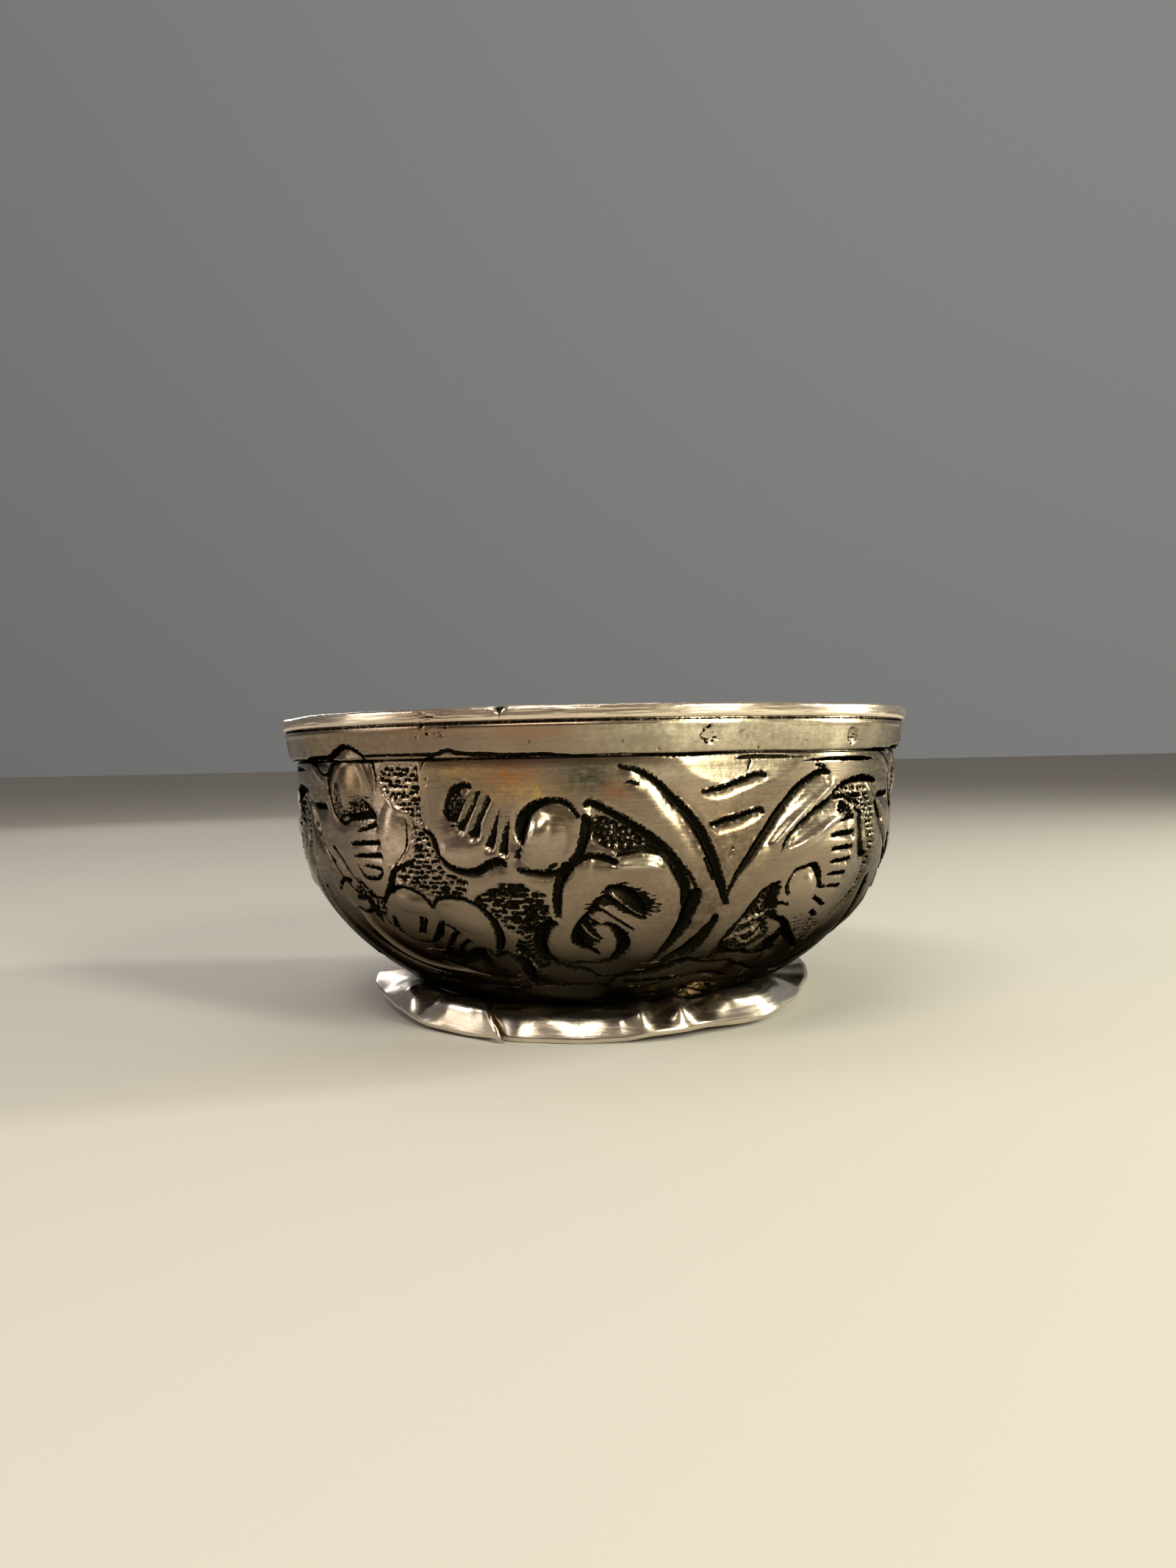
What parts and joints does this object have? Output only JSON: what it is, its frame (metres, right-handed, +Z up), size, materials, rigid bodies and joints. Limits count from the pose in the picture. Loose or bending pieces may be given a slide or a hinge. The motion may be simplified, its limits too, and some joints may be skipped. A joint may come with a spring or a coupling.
{
  "type": "kumkum bowl",
  "caption": "Small silver bowl for kumkum powder: a round chased belly under a plain band, a wire lip, and a low hand-flared foot.",
  "frame": {"origin": "on the bowl's axis, at the height of the surface that the foot stands on", "axes": "+Z up along the bowl's axis, -Y towards the side with the chased V that the picture shows, +X to its right"},
  "size_m": [0.05, 0.05, 0.0233],
  "materials": {
    "oxidised_silver": "hand-raised silver, brushed, with dark patina in the chased lines",
    "foot_silver": "bright hammered silver strip, dented along its edge",
    "solder": "dull silver solder"
  },
  "bodies": {
    "root": {"bowl_shell": "oxidised_silver", "lip_wire": "oxidised_silver", "foot_strip": "foot_silver", "solder_bead": "solder"}
  },
  "joints": []
}
